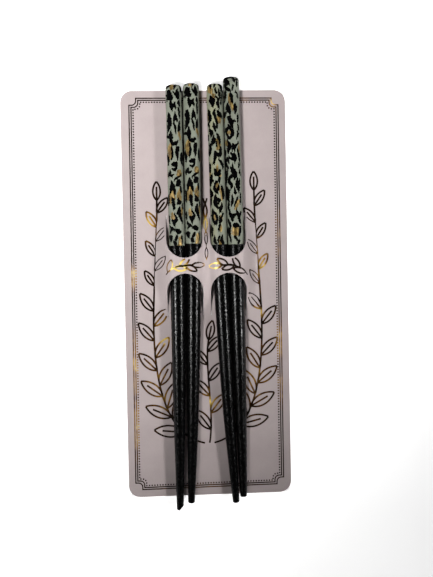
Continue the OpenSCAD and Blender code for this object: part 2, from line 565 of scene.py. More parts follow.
# Each row is a stem: its curve's four points, the first and last leaf's place along it from 0 to 1,
# the number of leaves, the first and last leaf's length, and the angle between leaf and stem
STEMS = [
    # from, through, through, to, first, last, leaves, first_l, last_l, spread
    ((-2, -64), (-20, -60), (-24.5, -34), (-22.5, 0), 0.20, 0.94, 11, 12.5, 9.5, 0.68),
    ((-22.5, 0), (-21.8, 14), (-20.5, 28), (-20.5, 41), 0.10, 1, 7, 7.5, 8, 0.62),
    ((2, -64), (20, -60), (25, -34), (23, 0), 0.20, 0.94, 11, 12.5, 9.5, 0.68),
    ((23, 0), (22.3, 14), (21, 28), (21, 45), 0.10, 1, 7, 7.5, 8, 0.62),
    ((0, -64), (2.5, -50), (-2, -30), (0.5, -19), 0.14, 1, 7, 10.5, 8.5, 0.68),
    ((-17, 8.6), (-14, 12.8), (-10, 12.4), (-6, 12.5), 0.10, 1, 5, 5.4, 5.2, 0.50),
    ((17, 8), (14, 12.4), (10, 12.6), (6, 12.3), 0.10, 1, 5, 5.4, 5.2, 0.50),
]
STEM_STEPS = 60

# A leaf's edges as shares of its length: where they start to bulge and to close in, and how far out
# they are there. A leaf longer than RIBBED has a rib.
LEAF_LOW = (0.25, 0.275)
LEAF_HIGH = (0.7, 0.25)
LEAF_STEPS = 14
RIBBED = 7
RIB_L = 0.72

# A twist of two strands between the pairs: its low and high end, reach and length of a turn
TWIST_LOW = 14.5
TWIST_HIGH = 41
TWIST_REACH = 0.8
TWIST_TURN = 6


def leaf_lines(base, heading, length):
    """A leaf: its two curved edges and its rib."""
    way = (math.cos(heading), math.sin(heading))

    def at(along, across):
        return off(base, way, along * length, across * length)

    lines = [bezier((base, at(LEAF_LOW[0], side * LEAF_LOW[1]),
                     at(LEAF_HIGH[0], side * LEAF_HIGH[1]), at(1, 0)), LEAF_STEPS)
             for side in (-1, 1)]
    if length > RIBBED:
        lines.append([base, at(RIB_L, 0)])
    return lines


def leafy_lines():
    """All lines of the leafy drawing."""
    lines = []
    for *curve, first, last, leaves, first_l, last_l, spread in STEMS:
        stem = bezier(curve, STEM_STEPS)
        lines.append(stem)
        for k in range(leaves):
            t = lerp(first, last, k / (leaves - 1))
            spot = min(round(t * STEM_STEPS), STEM_STEPS - 1)
            (x0, y0), (x1, y1) = stem[spot:spot + 2]
            side = 0 if t == 1 else (-1) ** k
            heading = math.atan2(y1 - y0, x1 - x0) + side * spread
            lines += leaf_lines((x0, y0), heading, lerp(first_l, last_l, k / (leaves - 1)))
    for side in (-1, 1):
        steps = round((TWIST_HIGH - TWIST_LOW) / STROKE_STEP)
        lines.append([(side * TWIST_REACH * math.sin(math.pi * i * STROKE_STEP / TWIST_TURN),
                       TWIST_LOW + i * STROKE_STEP) for i in range(steps + 1)])
    return lines


def card_print():
    """The foil print on the card: a double border, a dotted line and a leafy drawing."""
    bm = bmesh.new()
    # Each vertex carries how much painted glint tints the foil gold there
    glint = bm.verts.layers.float.new("glint")
    for inset in (BORDER_INSET, SECOND_INSET):
        line = []
        for here, after in pairs(notched_frame(inset)):
            line += stretch(here, after, BORDER_STEP)
        add_ribbon(bm, glint, line, BORDER_LINE_W, closed=True)
    for x, y in evenly(notched_frame(DOTS_INSET), DOT_PITCH, closed=True):
        add_dot(bm, glint, x, y)
    for line in leafy_lines():
        add_stroke(bm, glint, line, DRAWN_LINE_W)
    make_piece("card_print", bm, [foil_material()], "card", smooth=False)


# The sticks

SHAFT_SIDES = 72
SHAFT_STEP = 2.5
TOP_STEPS = 6
TIP_STEPS = 5


def shaft(number, stick, material):
    """A black stick, round and tapering, with a rounded top edge and tip."""
    top_y = wall_top(stick)
    low_y = stick.tip_y + TIP_ROUND
    rows = arc((EDGE_R, top_y), TOP_ROUND, 1, 0, TOP_STEPS)
    rows += [(shaft_radius(stick, y), y) for _, y in stretch((0, top_y), (0, low_y), SHAFT_STEP)[1:]]
    rows += arc((shaft_radius(stick, low_y) - TIP_ROUND, low_y), TIP_ROUND, 0, -1, TIP_STEPS)
    angles = [2 * math.pi * i / SHAFT_SIDES for i in range(SHAFT_SIDES)]
    bm = bmesh.new()
    rings = [[bm.verts.new(on_stick(stick, y, a, r)) for a in angles] for r, y in rows]
    skin(bm, rings)
    for k in (0, -1):
        fan(bm, pairs(rings[k]), on_stick(stick, rows[k][1], 0, 0))
    if number == 1:
        slant_tip(bm, stick)
    make_piece(f"stick_{number}", bm, [material], "lacquer", f"shaft_{number}")


def slant_tip(bm, stick):
    """Cuts a tip off at a slant, on its inner side."""
    start = on_stick(stick, stick.tip_y + SLANT_L, math.pi / 2, TIP_R)
    cut = bmesh.ops.bisect_plane(bm, geom=bm.verts[:] + bm.edges[:] + bm.faces[:], plane_co=start,
                                 plane_no=(1, -1, 0), clear_outer=True)["geom_cut"]
    rim = [g for g in cut if isinstance(g, bmesh.types.BMEdge)]
    bmesh.ops.contextual_create(bm, geom=rim)
    for edge in rim:
        edge.smooth = False


# What a film's faces are, by the order of its materials: sage, black (K) or gold (G)
SAGE, K, G = range(3)

# Spots of the print, read from the photograph. Each row is one brush mark: its kind, then
# places along its middle as x, y and width in pixels of the photograph.
LEFT_SPOTS = [
    (K, (166.8, 87.2, 2.2), (168.2, 86, 2.6), (169.3, 85.2, 1.6)),
    (G, (171.3, 85, 4.6), (171.5, 88.3, 2.6)),
    (K, (176.1, 85, 1), (174.7, 85.6, 2.4), (174.1, 88, 1.2)),
    (K, (179.6, 85.8, 0.9), (180.6, 91.3, 1.1)),
    (K, (168.9, 92.3, 4), (169.3, 95.5, 4.6), (169.8, 97.6, 5.4)),
    (K, (166.4, 95.4, 1), (168.5, 95, 1.6)),
    (K, (166.6, 99.4, 0.8), (169, 98.8, 1.2), (172, 99.3, 0.8)),
    (K, (176.6, 90.5, 1.8), (177.3, 94, 3.6), (178.1, 97.8, 2.6)),
    (K, (173.4, 92.4, 1), (175.8, 94.6, 2.2)),
    (K, (170.3, 102, 1.8), (171.2, 105.5, 3.4), (171.8, 109.6, 1.4)),
    (K, (174.7, 102.8, 1.4), (173.9, 105.2, 3), (175.6, 107.5, 1.4)),
    (K, (178.6, 101.2, 1.4), (178.6, 103.4, 2.4), (179.4, 105.6, 1)),
    (K, (178.4, 108.2, 1), (179, 111.5, 1.6), (179.3, 116.4, 1.2)),
    (K, (169, 114.3, 2), (169.2, 118, 3.4), (169.6, 123, 4), (169, 127, 2.8), (167.8, 132, 0.9)),
    (K, (174.8, 113.6, 0.9), (175.2, 116.8, 3.2), (173.9, 121, 1.3)),
    (K, (175.2, 116.8, 2.8), (176.4, 118.6, 2), (177.2, 120.8, 1.3)),
    (K, (173.8, 123.3, 1.4), (174.9, 126, 1.9), (175.6, 129, 1.6), (175.7, 132.2, 0.8)),
    (K, (179.1, 123, 1.2), (179.1, 126.5, 1.9), (178.8, 130.2, 2.4)),
    (G, (178.5, 131.6, 1.2), (179.6, 135.5, 2), (180.4, 138.8, 0.9)),
    (K, (170.6, 131.5, 1), (170.8, 136, 3.8), (171, 140, 2.8), (171.5, 143, 1.6)),
    (K, (167.5, 137.2, 1.8), (169.8, 137.3, 2.6)),
    (K, (172.6, 143.3, 3), (174.8, 143.6, 3.8), (177, 142.2, 2)),
    (G, (170.8, 143.8, 1.8), (170.3, 148, 4.2), (169.8, 153, 3.6), (170.1, 157.5, 1.6)),
    (K, (171.6, 147, 0.9), (172.4, 152, 1.6), (172.2, 156, 1.8), (171.4, 159, 1.2)),
    (K, (167.6, 156, 0.9), (168.4, 159.3, 2), (168.6, 162.6, 1)),
    (K, (177.8, 147.6, 3), (177, 152, 3.2), (177.4, 155.5, 2.4), (177.5, 158.4, 1)),
    (K, (181.3, 153.5, 1.4), (181.5, 158, 2.4), (181.9, 163.5, 1.4)),
    (K, (172.4, 164.4, 2.4), (174.6, 164, 4.8), (176.4, 163, 2.2)),
    (K, (176.3, 164.6, 1.8), (176.4, 167.2, 1.6), (174.8, 169.4, 2.4), (172.2, 168.6, 1)),
    (K, (170.4, 171.8, 1.4), (169.5, 174.4, 2.4), (168.6, 176.4, 1)),
    (K, (169.5, 174.4, 2), (171.4, 175.9, 1.8), (173.5, 174.5, 1)),
    (G, (179, 171.4, 3.6), (179.3, 174, 5)),
    (K, (180.4, 175.8, 1), (176.8, 178, 2.3), (174.4, 179.6, 0.8)),
    (K, (178.8, 181.8, 4.2), (178, 184.2, 4.2)),
    (K, (171.9, 182.4, 1.6), (171.1, 188, 2.6), (170.5, 192.4, 1.2)),
    (K, (171.9, 182.6, 1.6), (173.4, 187.5, 3.2), (175.1, 193.6, 1.7)),
    (G, (172.1, 189, 1.4), (172, 194, 3.8), (173.4, 198.8, 3.2)),
    (G, (170.8, 195, 1.2), (170.6, 202, 1.2)),
    (K, (169, 195.5, 1), (169, 203.6, 1)),
    (K, (180.6, 186.8, 1.2), (181, 192, 1.4)),
    (G, (179.6, 190.6, 1.6), (178.9, 195, 3.8), (179.6, 199, 3.6)),
    (K, (178, 199.8, 1.8), (179.3, 202.6, 4.4)),
    (K, (173.2, 199.6, 2.8), (173.5, 203.5, 2.8), (174.2, 208.4, 2)),
    (K, (182.4, 205.6, 1), (182.6, 208, 1)),
    (K, (179.6, 207.8, 1.4), (179, 213, 3.6), (180.9, 218.5, 2.2), (182.3, 222, 1)),
    (G, (181.9, 210, 1.2), (182, 214.5, 1)),
    (G, (172.2, 213.6, 1.6), (173, 217.6, 3)),
    (K, (174.4, 214.2, 1.2), (176.8, 218.5, 2), (174.9, 221.5, 3.6), (174.4, 225.4, 1.2)),
    (K, (172.4, 220.4, 1.4), (174, 223, 2)),
    (K, (169.4, 216.5, 0.8), (169.5, 221.5, 1)),
    (K, (170.5, 226.8, 1.4), (172.3, 228.8, 3.2), (174.2, 229.4, 1.2)),
    (K, (172.3, 229.4, 2), (170.6, 231.3, 1)),
    (K, (177.4, 230.9, 4.2), (179.2, 231.8, 4)),
    (K, (171, 236.8, 3.2), (171.3, 240.2, 1.8)),
    (K, (177.2, 236.4, 2), (175.6, 239.8, 2.4)),
    (K, (174.4, 242, 2.2), (175.6, 244.4, 2.8)),
    (G, (179.8, 238, 1.4), (179.9, 241.5, 2.6), (180, 245.4, 4)),
    (K, (181.8, 236.6, 1.4), (182.5, 242, 1)),
    (K, (168.4, 162.2, 0.9), (168.5, 163.6, 0.7)),
]

THIRD_SPOTS = [
    (G, (209.8, 87.6, 3), (210.6, 91, 4.6)),
    (K, (209.8, 84.8, 2.6), (210.4, 86.6, 1.8)),
    (K, (214.6, 84.2, 2), (214.1, 86.2, 1.6)),
    (K, (218.8, 84.5, 1.4), (221, 86.8, 2.4), (222.2, 92, 1.4)),
    (K, (215.1, 89.2, 1.2), (216.2, 92.6, 2)),
    (G, (213.3, 95, 3), (213.2, 97.8, 2.4)),
    (K, (210.8, 97, 2.2), (212, 101, 5.2), (212.5, 106, 1.8)),
    (K, (215.7, 96.5, 1.2), (217.6, 98.6, 1.6), (217.9, 101, 1.8), (217.4, 103.5, 3), (219, 107.4, 1.2)),
    (K, (218.4, 90.4, 0.7), (218.7, 94, 1)),
    (K, (219.9, 92.6, 0.8), (219.3, 98.6, 1)),
    (K, (221.3, 95.6, 0.7), (220.6, 103.8, 1.1)),
    (K, (208.8, 110.8, 1.6), (209.9, 116, 2.8), (210.2, 119.4, 2.6), (209.4, 121.6, 1.2)),
    (G, (207.9, 115.6, 1), (208, 119, 1)),
    (K, (214.6, 110.2, 1.2), (213.9, 112.8, 2.4), (215.2, 116.5, 2), (215.9, 119.5, 1.8),
     (216.9, 123, 1.8), (217.1, 127, 1.6)),
    (K, (218, 111.6, 2.2), (219.6, 114.8, 3.8), (221.2, 116.6, 1.6)),
    (G, (218.6, 117.8, 3.2), (219, 121.6, 3.4)),
    (K, (213.9, 123.8, 1.6), (214.2, 127, 2.6), (215.6, 130.4, 1.2)),
    (K, (208.5, 124.6, 1.6), (209.2, 126, 1.4)),
    (K, (209.8, 129.8, 1.2), (211.3, 132.4, 4), (211.4, 135.4, 1.6)),
    (K, (208.4, 135.8, 0.8), (208.4, 138.8, 0.8)),
    (K, (213.5, 136.4, 1), (213.7, 140, 4), (212.2, 143.8, 2.4)),
    (K, (217.3, 134.2, 1.2), (218.1, 137, 2.6), (219.7, 140.4, 1.8), (219.9, 143.4, 1)),
    (G, (216.8, 140, 1.8), (218.3, 142.8, 2.4), (219.2, 145.3, 2.8), (217.6, 149, 2.4)),
    (K, (216.4, 143, 0.9), (216.6, 145.8, 1)),
    (K, (210, 145.4, 1.8), (210.5, 150.5, 2.6), (209.6, 154.4, 1.2)),
    (K, (220.5, 147.4, 1.6), (220.4, 152.4, 2.6), (219.6, 155, 3.4), (216.6, 154, 3.4), (215.4, 152, 2.4)),
    (K, (215.6, 154, 2.8), (215.2, 158, 2.5), (213.9, 162.6, 2.2)),
    (K, (218.8, 159.7, 1), (221.2, 162.2, 2), (223, 167, 1.4)),
    (K, (210.1, 164.8, 1.6), (210.1, 171, 1.5)),
    (G, (210.1, 171.6, 1.5), (210.2, 175, 1.2)),
    (G, (217.2, 166.4, 1.2), (217.4, 171.2, 2.2)),
    (K, (215.4, 170, 2.2), (216.2, 173.8, 3.4), (219, 173.6, 3.2), (219.8, 170.2, 1.8)),
    (G, (219.9, 175.6, 2.2), (219.4, 178, 1.8)),
    (K, (219.4, 178, 2.2), (219.6, 182, 1.2)),
    (K, (211.8, 175.6, 2), (210.9, 179.4, 3), (210.4, 185.4, 1.2)),
    (K, (211, 180.4, 2), (213.4, 180.6, 1)),
    (K, (216.7, 181.6, 2.2), (214.7, 185.6, 1.8), (214.8, 189.4, 2.8), (217.4, 192.6, 1.6)),
    (K, (218.9, 186, 1.4), (217.8, 189.6, 2.6), (216, 190.6, 2)),
    (G, (217.4, 184.2, 2.4), (217.4, 186.6, 2.2)),
    (G, (219.4, 188.5, 1.6), (221, 192.5, 1.8), (222.2, 198.4, 1.4)),
    (K, (221.8, 186.8, 1.6), (222.8, 192, 2.4), (223.2, 198, 1.6)),
    (K, (210.6, 189.8, 1.4), (211.8, 194.6, 3), (211.2, 196.6, 1.6)),
    (G, (210.4, 196.4, 1.6), (210.5, 199, 1.4)),
    (K, (215.6, 195.6, 1.8), (215.2, 200, 3.2), (215.6, 204.2, 3.8), (218, 208, 1.4)),
    (K, (215.8, 199.6, 2.4), (219.4, 200, 2.6), (218.6, 203, 1)),
    (K, (210.9, 199.6, 1.8), (210.9, 204.8, 1.2)),
    (K, (222.2, 204.2, 1.2), (220.7, 208.6, 3.2), (220.3, 211.4, 1.8)),
    (K, (212.9, 210.6, 1.4), (212.6, 216, 2), (213.6, 221, 1.8), (215.4, 223.2, 2.4)),
    (K, (213, 211.4, 2.2), (216.2, 214.6, 2), (217.2, 219, 2), (216, 223.4, 2)),
    (G, (214.2, 215.6, 1.5), (215.4, 219.4, 1.4)),
    (K, (222.9, 213.8, 1.4), (221.9, 216.6, 1.2)),
    (G, (221.2, 216.6, 2.4), (221.6, 218.4, 1.8)),
    (K, (220, 217.4, 1.4), (220.6, 220.6, 2.8), (219.9, 222.6, 1.4)),
    (K, (211, 226.2, 1), (212.6, 228.4, 1.8), (211.6, 232.2, 1.2)),
    (G, (210.6, 228, 1), (210.8, 231, 0.9)),
    (K, (212.6, 233.6, 0.9), (212.4, 235.6, 0.9)),
    (K, (219.8, 225, 1.5), (218.7, 229.6, 1.3)),
    (G, (220.6, 226, 1.8), (220.9, 230.4, 2)),
    (K, (214.6, 237.4, 1.4), (215.2, 241.6, 2.6), (216.6, 243.4, 1.6)),
    (K, (219.4, 236.6, 1.4), (218, 240.6, 1.3)),
    (K, (222.2, 236.8, 1.4), (221.6, 240, 3), (223.2, 243.6, 2.4)),
    (G, (219.4, 241.6, 1.6), (220.4, 243.6, 2.8)),
]

FOURTH_SPOTS = [
    (K, (225, 79.4, 3.6), (226.4, 82.6, 4.8), (224.9, 85.4, 2.4)),
    (K, (226.4, 82.8, 2.4), (229, 83.6, 1.2)),
    (K, (225, 77.6, 1.6), (229, 77.2, 1.6), (232.3, 77.2, 1.8), (233.9, 80.2, 2.4)),
    (K, (236.4, 79.2, 1.6), (236.9, 79.6, 1.2)),
    (K, (236.5, 82.4, 1.4), (236.9, 85.2, 1.4)),
    (K, (232.9, 85.7, 1.8), (232.4, 88.6, 1.2)),
    (K, (224.9, 87.2, 1.2), (227.3, 89, 3.2), (230.2, 90.4, 1.2)),
    (K, (225.4, 92.2, 2), (225.1, 97, 1.6), (224.6, 101.4, 0.9)),
    (K, (230.4, 93.8, 2.2), (231.4, 96.8, 3), (232, 101.4, 2.2)),
    (G, (229.1, 95.4, 1.2), (229.1, 100.5, 1.6), (231.4, 104, 3), (232.6, 109.4, 1.6)),
    (K, (235.2, 92.4, 1), (236.6, 92.9, 0.8)),
    (K, (237.2, 95.2, 1), (237.4, 97, 1)),
    (K, (227.6, 103.6, 1.4), (228.2, 108.4, 4.4), (229.6, 112.8, 2.2)),
    (K, (234.8, 104.4, 1.8), (235.3, 108, 3.2), (235.2, 112.6, 1.2)),
    (K, (225.2, 113.4, 2.6), (224, 116.6, 2.4)),
    (G, (223.8, 117.8, 1.6), (224, 121.4, 1.4)),
    (K, (228.6, 117.4, 3), (230.9, 121.6, 4.2), (231.9, 125.4, 2.2), (232.8, 127.8, 0.9)),
    (K, (231.6, 121.8, 2.4), (233.9, 120.8, 1.8), (235.4, 121.3, 1)),
    (K, (230.2, 116, 1.2), (229.6, 118, 1.6)),
    (K, (237.5, 116, 1.3), (237.7, 121.6, 1)),
    (K, (238.2, 125.6, 0.8), (238.4, 129.4, 0.8)),
    (K, (228, 124.8, 0.9), (229.9, 127.8, 2.8), (232.5, 131.8, 2.6), (231.5, 136, 2.8),
     (229.2, 138, 2.4), (227.4, 135.2, 1.6), (226.2, 131.8, 1.8), (227.3, 128.4, 2.8), (229.4, 127.8, 2)),
    (G, (228.3, 132.2, 2.6), (229.7, 132.6, 3.2)),
    (K, (237.6, 131.8, 0.9), (238, 134.6, 1.8), (236.8, 137.4, 0.8)),
    (G, (226.3, 141.6, 1.8), (226.8, 144.6, 2.6)),
    (K, (227.7, 141, 1.2), (229.6, 144, 2.2), (229.2, 147.6, 3.6), (228.2, 151.8, 1.6)),
    (K, (232.9, 144, 1.4), (234, 147, 3.6), (236.5, 144.8, 1.6), (238.2, 143.2, 1.2)),
    (K, (233.8, 147, 2), (232, 149.2, 0.9)),
    (K, (234.2, 147.4, 2.2), (234.7, 150.4, 1.1)),
    (G, (238.7, 146.6, 1), (238.9, 151, 1.2)),
    (K, (237.8, 150.2, 1.2), (238.9, 156.8, 1.4)),
    (K, (223.7, 148.6, 1.8), (225, 153, 2.4), (224.4, 157.2, 1.8)),
    (K, (231.2, 153.6, 1.6), (233.8, 155.8, 4.4), (235.4, 158.6, 3), (234.8, 161.6, 0.8)),
    (K, (229.6, 157.6, 1.2), (231.4, 158.8, 2.2), (234, 159.4, 2.6)),
    (K, (239.2, 158, 0.9), (239.4, 160.2, 0.8)),
    (K, (239.1, 164.6, 1.4), (238.9, 166.4, 1)),
    (K, (239.5, 171.6, 1.2), (239.8, 173.6, 0.9)),
    (K, (227.4, 158.6, 2), (225.5, 161.6, 2.2), (226, 164.6, 2.2), (227.9, 167.6, 1.6)),
    (K, (228.3, 159.4, 1.4), (228.7, 162, 1)),
    (K, (230.9, 168, 1.4), (233.4, 171, 4.8), (234.8, 175, 4.2), (234.8, 178.6, 1.2)),
    (K, (232.5, 164.6, 0.8), (232.9, 168, 1.2)),
    (K, (227.2, 171.6, 1.7), (226.9, 175.6, 1.7), (226.6, 180.4, 0.9)),
    (K, (231.8, 175.2, 1.8), (229.7, 177.6, 2), (229.3, 181.4, 2.2), (231.4, 184.6, 3), (231.4, 187.8, 1.4)),
    (K, (230, 177.6, 1.2), (232.2, 177.6, 0.9)),
    (K, (237.3, 177.8, 0.8), (237.3, 180.6, 2), (237.7, 185, 4), (238.7, 190.8, 1.4)),
    (K, (239.6, 180.6, 1.2), (239.2, 184, 1.6)),
    (K, (234.6, 188.2, 0.9), (235.5, 192.6, 2.8)),
    (K, (225.6, 186.6, 2.2), (227.5, 190.5, 3.8), (227.2, 195.8, 4), (228.8, 200.4, 1.6)),
    (K, (232, 196, 1.2), (232.6, 200.4, 2.2), (231.6, 204.8, 1.2)),
    (K, (237.3, 198, 1.5), (236.6, 200.6, 1.4), (234.9, 204.4, 0.9)),
    (G, (238.6, 200.6, 1.8), (237.8, 203.6, 2.4), (235.2, 208.6, 2.2)),
    (K, (240.3, 195, 0.8), (240.5, 202.4, 1)),
    (K, (228.8, 203.8, 1.4), (228.4, 207, 1.7), (229.7, 211, 1.2)),
    (K, (229.8, 213.4, 1.8), (232.2, 215.8, 4.4), (235.4, 214.2, 1.8)),
    (K, (232, 216.6, 3), (232.6, 220.4, 1.8)),
    (K, (236.4, 210.4, 0.8), (237.8, 213.5, 2.4), (239, 217.6, 2.4), (240.1, 222.4, 1.6)),
    (K, (240.7, 212.6, 1), (240.3, 215, 1)),
    (K, (228.6, 220.2, 1.5), (230, 223.8, 1.7), (230.5, 227.2, 1.2)),
    (K, (235, 225, 4.2), (237, 225.2, 4)),
    (G, (235.3, 228.6, 6.6), (235.3, 232.8, 6.8)),
    (K, (240, 227, 1.4), (240.1, 231, 1.9), (239.2, 235.6, 0.9)),
    (K, (229, 228.6, 2.2), (229.3, 233, 2.6), (230.2, 237, 1), (231, 241, 1.4)),
    (K, (235, 236.8, 2.4), (237.4, 239.8, 1.6)),
    (K, (239.4, 240.8, 1.8), (238.6, 243.2, 2)),
    (K, (226, 215.4, 1.2), (226, 218, 1.2)),
]

# Each row is a film: the spots on its front and the stick that they were read from, how far they
# are turned round it and slid down it, then the spots on its back and their stick
FILMS = [
    # front_spots, front_stick, turn_deg, slide, back_spots, back_stick
    (LEFT_SPOTS, 0, 0, 0, FOURTH_SPOTS, 3),
    (LEFT_SPOTS, 0, 7, -0.8, FOURTH_SPOTS, 3),
    (THIRD_SPOTS, 2, 0, 0, LEFT_SPOTS, 0),
    (FOURTH_SPOTS, 3, 0, 0, THIRD_SPOTS, 2),
]

# Brush marks on the films' flat ends, as kind and places: angle in degrees, millimetres in from the
# wall's top, and width in millimetres. Each film has them turned by END_TURN more than the last.
END_SPOTS = [
    (K, (10, 1.7, 0.6), (38, 2.5, 0.9), (75, 2.2, 0.5)),
    (K, (95, 3.3, 0.7), (150, 3.6, 1)),
    (G, (118, 2.1, 0.5), (140, 2.7, 0.8)),
    (K, (170, 1.7, 0.7), (192, 2.2, 1)),
    (K, (232, 2.6, 1), (262, 2.1, 0.7), (275, 1.6, 0.5)),
    (G, (292, 3.2, 0.9), (325, 2.6, 0.7)),
    (K, (335, 1.8, 0.6), (350, 2.3, 0.8)),
]
END_TURN = 76

# Marks down a film's sides. The first row is black painted shade in the dark gap toward the pair's other
# stick; the second is brush marks. Columns: angle from the top in degrees, toward the pair's other stick,
# the share that is gold, and the ranges of length, of the gap after a mark and of width in millimetres
SIDE_MARKS_AND_GAP_SHADE = [
    # Black painted shade, where the sticks of a pair nearly touch and the gap lies in shadow
    (88, 0, (4, 9), (0.4, 1.4), (0.8, 1.6)),
    (-97, 0.2, (2, 4.4), (0.8, 2), (1.1, 2)),
]
SIDE_SWAY = 0.3

# Seeds of the random draws. Each film adds its number.
BACK_SEED = 10
SIDE_SEED = 20

# Streaks that the brush's bristles leave at a mark's ends, in pixels. They start within
# STREAK_START of the mark's width from its middle.
STREAKS = 2
STREAK_L = (0.9, 2.6)
STREAK_W = 0.1
STREAK_START = 0.55
STREAK_LEAN = 0.3

# A mark's outline, in pixels: how much wider than read, how ragged its sides are, and the angles and
# reach of the points round its ends
PX_PER_MM = 2.33
SPOT_STEP = 0.7
BOLD = 1.08
BOLDER = 0.58
RAGGED = 0.22
RAGGED_PX = 0.3
LEAST_HALF = 0.25
CAP_ANGLES = (-50, 0, 50)
CAP_REACH = 0.85
CAP_RAGGED = 0.3

# The unrolled film: u is the way round it and v the way down it from the top of its wall. Above the
# wall it is rounded up to FILM_EDGE, then flat.
FILM_COLUMNS = 64
FILM_ROW = 0.9
FILM_NEAREST = 2e-3
SEAM = 4e-6
TOP_HOLE = 0.4
ROUND_FILM = 2 * math.pi * FILM_OUT_R
FILM_LEFT = -ROUND_FILM / 4
FILM_RIGHT = FILM_LEFT + ROUND_FILM
FILM_EDGE = -FILM_ARC * math.pi / 2
FILM_TOP = FILM_EDGE - EDGE_R + TOP_HOLE
INNER_STEPS = 8
INNER_ARC_STEPS = 4


def spot_outline(places, rng):
    """Outline of a brush mark in the photograph's pixels, with ragged sides and ends."""
    middle = [(x, y, w * BOLD + BOLDER) for x, y, w in spline(places, SPOT_STEP)]
    if len(middle) == 2:
        middle.insert(1, tuple((a + b) / 2 for a, b in zip(*middle)))
    left = []
    right = []
    caps = []
    for k, (x, y, w) in enumerate(middle):
        x0, y0, _ = middle[max(k - 1, 0)]
        x1, y1, _ = middle[min(k + 1, len(middle) - 1)]
        length = math.hypot(x1 - x0, y1 - y0)
        way = ((x1 - x0) / length, (y1 - y0) / length)
        for side, sign in ((left, 1), (right, -1)):
            half = w / 2 * (1 + RAGGED * rng.uniform(-1, 1)) + RAGGED_PX * rng.uniform(-1, 1)
            side.append(off((x, y), way, 0, sign * max(half, LEAST_HALF)))
        if k in (0, len(middle) - 1):
            outward = 1 if k else -1
            cap = []
            for angle in map(math.radians, CAP_ANGLES):
                reach = w / 2 * (CAP_REACH + CAP_RAGGED * rng.random())
                cap.append(off((x, y), way, outward * math.cos(angle) * reach, math.sin(angle) * reach))
            caps.append(cap)
    return left + caps[1][::-1] + right[::-1] + caps[0]


def with_streaks(places, rng):
    """A brush mark and the streaks at its upper and lower end."""
    marks = [places]
    upper = min(places, key=lambda place: place[1])
    lower = max(places, key=lambda place: place[1])
    for (x, y, w), way in ((upper, -1), (lower, 1)):
        for _ in range(STREAKS):
            start = x + w * rng.uniform(-STREAK_START, STREAK_START)
            end = start + rng.uniform(-STREAK_LEAN, STREAK_LEAN)
            marks.append([(start, y, STREAK_W), (end, y + way * rng.uniform(*STREAK_L), 0)])
    return marks


def unrolled(spots, stick, seed):
    """Outlines of spots on a stick's unrolled film."""
    rng = random.Random(seed)
    return [(kind, [photo_on_film(stick, px, py) for px, py in spot_outline(mark, rng)])
            for kind, *places in spots for mark in with_streaks(places, rng)]


def flat_outline(places, rng):
    """Outline of a mark whose places are in millimetres on the unrolled film."""
    scaled = [[value * PX_PER_MM for value in place] for place in places]
    return [(x / PX_PER_MM, y / PX_PER_MM) for x, y in spot_outline(scaled, rng)]


def end_marks(number, rng):
    """The marks on a film's flat end."""
    for kind, *places in END_SPOTS:
        yield kind, flat_outline([(math.radians(a + number * END_TURN) * FILM_OUT_R, -v, w)
                                  for a, v, w in places], rng)


def side_marks_and_gap_shade(number, bottom, rng):
    """The marks down a film's two sides: painted shade along the side toward the pair's other stick, and
    brush marks on the far side.
    """
    for angle, gold, lengths, gaps, widths in SIDE_MARKS_AND_GAP_SHADE:
        u = math.radians(angle if number % 2 else -angle) * FILM_OUT_R
        v = rng.uniform(*gaps)
        while v < bottom:
            length = rng.uniform(*lengths)
            places = [(u + rng.uniform(-SIDE_SWAY, SIDE_SWAY), v + length * t, rng.uniform(*widths))
                      for t in (0, 0.5, 1)]
            kind = G if rng.random() < gold else K
            yield kind, flat_outline(places, rng)
            v += length + rng.uniform(*gaps)


def moved(marks, across, down):
    return [(kind, [(u + across, v + down) for u, v in outline]) for kind, outline in marks]


def film_marks(number, bottom, row):
    """All marks on a film, the painted gap shade among them, as kind and outline. Marks that cross its seam
    come twice.
    """
    front, front_stick, turn, slide, back, back_stick = row
    marks = moved(unrolled(front, STICKS[front_stick], number),
                  math.radians(turn) * FILM_OUT_R, slide)
    marks += moved(unrolled(back, STICKS[back_stick], BACK_SEED + number), ROUND_FILM / 2, 0)
    rng = random.Random(SIDE_SEED + number)
    marks += list(end_marks(number, rng)) + list(side_marks_and_gap_shade(number, bottom, rng))
    wrapped = []
    for turns in (-1, 0, 1):
        for kind, outline in moved(marks, turns * ROUND_FILM, 0):
            if max(u for u, _ in outline) > FILM_LEFT and min(u for u, _ in outline) < FILM_RIGHT:
                wrapped.append((kind, outline))
    return wrapped


def film_sheet(marks, bottom):
    """The unrolled film cut along its marks: points, and triangles as their middle's v and u and
    their corners, from the top down."""
    rows = max(2, round((bottom - FILM_TOP) / FILM_ROW))
    wide = FILM_COLUMNS + 1
    points = [(lerp(FILM_LEFT, FILM_RIGHT, i / FILM_COLUMNS), lerp(FILM_TOP, bottom, j / rows))
              for j in range(rows + 1) for i in range(wide)]
    edges = []
    for i in range(FILM_COLUMNS):
        edges += [(i, i + 1), (rows * wide + i, rows * wide + i + 1)]
    for j in range(rows):
        edges += [(j * wide, (j + 1) * wide), (j * wide + wide - 1, (j + 2) * wide - 1)]
    for _, outline in marks:
        add_outline(points, edges, outline)
    flat, triangles = triangles_over(points, edges, FILM_NEAREST)
    found = []
    for corners in triangles:
        u = sum(flat[k].x for k in corners) / 3
        v = sum(flat[k].y for k in corners) / 3
        if FILM_LEFT < u < FILM_RIGHT and FILM_TOP < v < bottom:
            found.append((v, u, tuple(corners)))
    return flat, sorted(found)


def film_kinds(triangles, marks):
    """What each triangle of a film is: sage, black or gold. Black lies over gold."""
    heights = [v for v, _, _ in triangles]
    kinds = [SAGE] * len(triangles)
    for kind, outline in sorted(marks, key=lambda mark: mark[0] == K):
        us, vs = zip(*outline)
        for k in range(bisect_left(heights, min(vs)), bisect_left(heights, max(vs))):
            v, u, _ = triangles[k]
            if min(us) < u < max(us) and winding(outline, u, v):
                kinds[k] = kind
    return kinds


